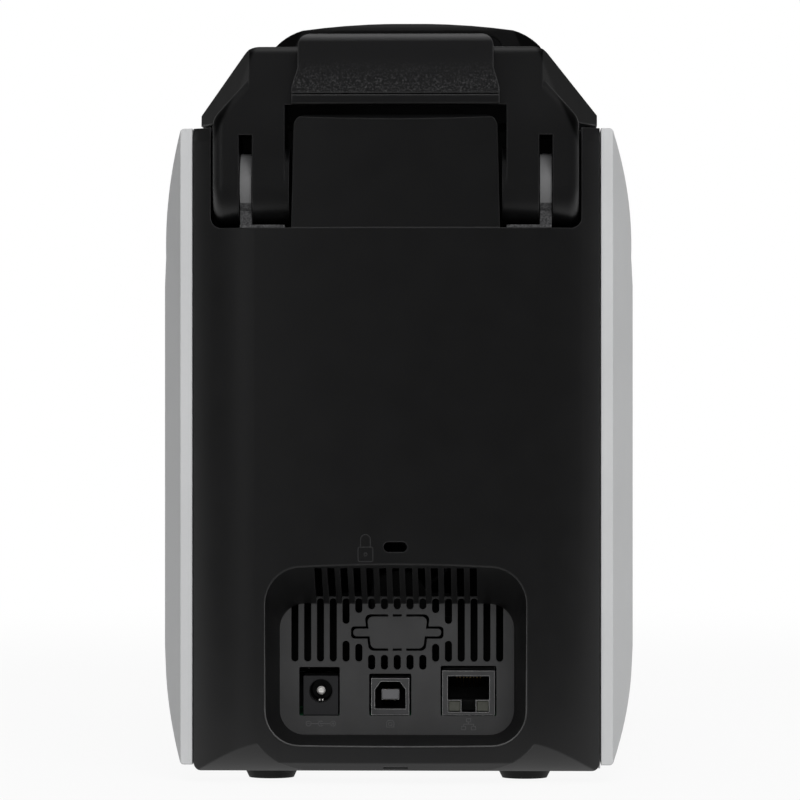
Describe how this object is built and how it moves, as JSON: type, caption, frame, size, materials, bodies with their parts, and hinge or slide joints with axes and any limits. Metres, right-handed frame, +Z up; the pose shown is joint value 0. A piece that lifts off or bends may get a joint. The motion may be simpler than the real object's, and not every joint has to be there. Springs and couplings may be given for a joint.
{
  "type": "id card printer",
  "caption": "Desktop printer for plastic identity cards, with a hinged lid over the print head, a front feeder, an output tray and a recess for its sockets at the back.",
  "frame": {"origin": "middle of the footprint, on the surface that the machine stands on", "axes": "+X to the machine's right seen from its front, +Y to its back, +Z up; front at -Y"},
  "size_m": [0.1458, 0.366, 0.2397],
  "materials": {
    "black_shell": "fine moulded texture",
    "silver_panel": "satin silver",
    "grey_plastic": "moulded",
    "port_panel": "fine moulded texture",
    "inner_plastic": "moulded",
    "pale_plastic": "moulded",
    "steel": "satin",
    "shaft_steel": "ground",
    "rubber": "matt",
    "roller_rubber": "matt",
    "feet_rubber": "matt",
    "circuit_board": "solder mask",
    "connector_metal": "tin plated",
    "connector_plastic": "moulded",
    "film": "thin film",
    "spool_plastic": "moulded",
    "window": "clear window over a dark display",
    "key_plastic": "satin",
    "aluminium": "machined"
  },
  "bodies": {
    "housing": {"base_tray": "steel", "rubber_feet": "feet_rubber", "tray_screws": "shaft_steel", "rear_cover": "black_shell", "port_plate": "port_panel", "front_cover": "black_shell", "right_panel": "silver_panel", "left_panel": "silver_panel", "right_plate": "steel", "left_plate": "steel", "tie_bars": "shaft_steel", "inner_deck": "inner_plastic", "feeder_body": "inner_plastic", "card_guide": "steel", "output_chute": "steel", "output_hopper": "inner_plastic", "drive_belt": "rubber", "feed_motor": "steel", "ribbon_motor": "steel", "ribbon_frame": "pale_plastic", "ribbon_film": "film", "main_board": "circuit_board", "power_socket": "connector_plastic", "usb_socket": "connector_metal", "network_socket": "connector_metal", "fan_frame": "connector_plastic", "fan_bracket": "steel", "display_window": "window", "control_board": "circuit_board", "hinge_brackets": "grey_plastic", "hinge_pins": "shaft_steel"},
    "lid": {"lid_cover": "black_shell", "lid_spine": "black_shell", "lid_liner": "inner_plastic", "head_bracket": "steel", "head_springs": "shaft_steel"},
    "latch": {"lid_latch": "grey_plastic"},
    "head": {"print_head": "aluminium"},
    "door": {"feeder_door": "black_shell"},
    "output_tray": {"output_flap": "black_shell"},
    "follower": {"feeder_follower": "grey_plastic"},
    "diverter": {"diverter_flap": "grey_plastic"},
    "power_key": {"power_button": "key_plastic"},
    "left_key": {"key_left": "key_plastic"},
    "right_key": {"key_right": "key_plastic"},
    "pick": {"pick_roller": "roller_rubber"},
    "feed": {"feed_shaft": "shaft_steel", "feed_sleeve": "roller_rubber"},
    "platen": {"platen_shaft": "shaft_steel", "platen_sleeve": "rubber"},
    "exit": {"exit_roller": "roller_rubber"},
    "cleaner": {"cleaning_roller": "roller_rubber"},
    "front_pinch": {"pinch_front": "roller_rubber"},
    "rear_pinch": {"pinch_rear": "roller_rubber"},
    "motor_rotor": {"motor_pulley": "aluminium"},
    "supply": {"supply_spool": "film"},
    "takeup": {"takeup_spool": "spool_plastic", "takeup_gear": "pale_plastic"},
    "winder": {"takeup_pinion": "pale_plastic"},
    "fan": {"fan_rotor": "connector_plastic"}
  },
  "joints": [
    {"name": "lid_hinge", "type": "hinge", "parent": "housing", "child": "lid", "pos_m": [0, 0.17, 0.1785], "axis": [-1, 0, 0], "range_deg": [0, 75]},
    {"name": "lid_latch_press", "type": "hinge", "parent": "lid", "child": "latch", "pos_m": [0, -0.168, 0.203], "axis": [1, 0, 0], "range_deg": [0, 8], "stiffness_Nm_per_rad": 0.05, "springref_deg": -5.73},
    {"name": "head_float", "type": "slide", "parent": "lid", "child": "head", "axis": [0, 0, 1], "range_m": [0, 0.0015], "stiffness_N_per_m": 800, "springref_m": -0.002, "deforming": ["head_springs"]},
    {"name": "feeder_door_hinge", "type": "hinge", "parent": "housing", "child": "door", "pos_m": [0, -0.18, 0.134], "axis": [1, 0, 0], "range_deg": [0, 80]},
    {"name": "output_flap_hinge", "type": "hinge", "parent": "housing", "child": "output_tray", "pos_m": [0, -0.18, 0.02], "axis": [1, 0, 0], "range_deg": [0, 75]},
    {"name": "follower_slide", "type": "slide", "parent": "housing", "child": "follower", "axis": [0, 0, 1], "range_m": [0, 0.048]},
    {"name": "diverter_swing", "type": "hinge", "parent": "housing", "child": "diverter", "pos_m": [0, -0.016, 0.1204], "axis": [1, 0, 0], "range_deg": [0, 12]},
    {"name": "power_press", "type": "slide", "parent": "housing", "child": "power_key", "axis": [0, 1, 0], "range_m": [0, 0.001], "stiffness_N_per_m": 300, "springref_m": -0.001},
    {"name": "left_key_press", "type": "slide", "parent": "housing", "child": "left_key", "axis": [0, 1, 0], "range_m": [0, 0.001], "stiffness_N_per_m": 300, "springref_m": -0.001},
    {"name": "right_key_press", "type": "slide", "parent": "housing", "child": "right_key", "axis": [0, 1, 0], "range_m": [0, 0.001], "stiffness_N_per_m": 300, "springref_m": -0.001},
    {"name": "feed_motor_spin", "type": "hinge", "parent": "housing", "child": "motor_rotor", "pos_m": [0, 0.0275, 0.084], "axis": [1, 0, 0], "continuous": true},
    {"name": "pick_spin", "type": "hinge", "parent": "housing", "child": "pick", "pos_m": [0, -0.06, 0.119], "axis": [1, 0, 0], "continuous": true},
    {"name": "feed_spin", "type": "hinge", "parent": "housing", "child": "feed", "pos_m": [0, 0.02, 0.119], "axis": [1, 0, 0], "continuous": true},
    {"name": "platen_spin", "type": "hinge", "parent": "housing", "child": "platen", "pos_m": [0, 0.07, 0.119], "axis": [1, 0, 0], "continuous": true},
    {"name": "exit_spin", "type": "hinge", "parent": "housing", "child": "exit", "pos_m": [0, 0.115, 0.119], "axis": [1, 0, 0], "continuous": true},
    {"name": "front_pinch_spin", "type": "hinge", "parent": "housing", "child": "front_pinch", "pos_m": [0, 0.02, 0.1318], "axis": [1, 0, 0], "continuous": true},
    {"name": "rear_pinch_spin", "type": "hinge", "parent": "housing", "child": "rear_pinch", "pos_m": [0, 0.115, 0.1318], "axis": [1, 0, 0], "continuous": true},
    {"name": "cleaner_spin", "type": "hinge", "parent": "housing", "child": "cleaner", "pos_m": [0, -0.025, 0.1338], "axis": [1, 0, 0], "continuous": true},
    {"name": "takeup_spin", "type": "hinge", "parent": "housing", "child": "takeup", "pos_m": [0, 0.028, 0.17], "axis": [1, 0, 0], "continuous": true},
    {"name": "winder_spin", "type": "hinge", "parent": "housing", "child": "winder", "pos_m": [0, 0.04905, 0.17], "axis": [1, 0, 0], "continuous": true},
    {"name": "supply_spin", "type": "hinge", "parent": "housing", "child": "supply", "pos_m": [0, 0.112, 0.17], "axis": [1, 0, 0], "continuous": true},
    {"name": "fan_spin", "type": "hinge", "parent": "housing", "child": "fan", "pos_m": [0, 0.1415, 0.054], "axis": [0, 1, 0], "continuous": true}
  ],
  "couplings": [
    {"joint": "feed_motor_spin", "follows": "platen_spin", "ratio": 1},
    {"joint": "pick_spin", "follows": "platen_spin", "ratio": 1},
    {"joint": "feed_spin", "follows": "platen_spin", "ratio": 1},
    {"joint": "exit_spin", "follows": "platen_spin", "ratio": 1},
    {"joint": "front_pinch_spin", "follows": "platen_spin", "ratio": -1.4},
    {"joint": "rear_pinch_spin", "follows": "platen_spin", "ratio": -1.4},
    {"joint": "winder_spin", "follows": "takeup_spin", "ratio": -3.3333}
  ]
}
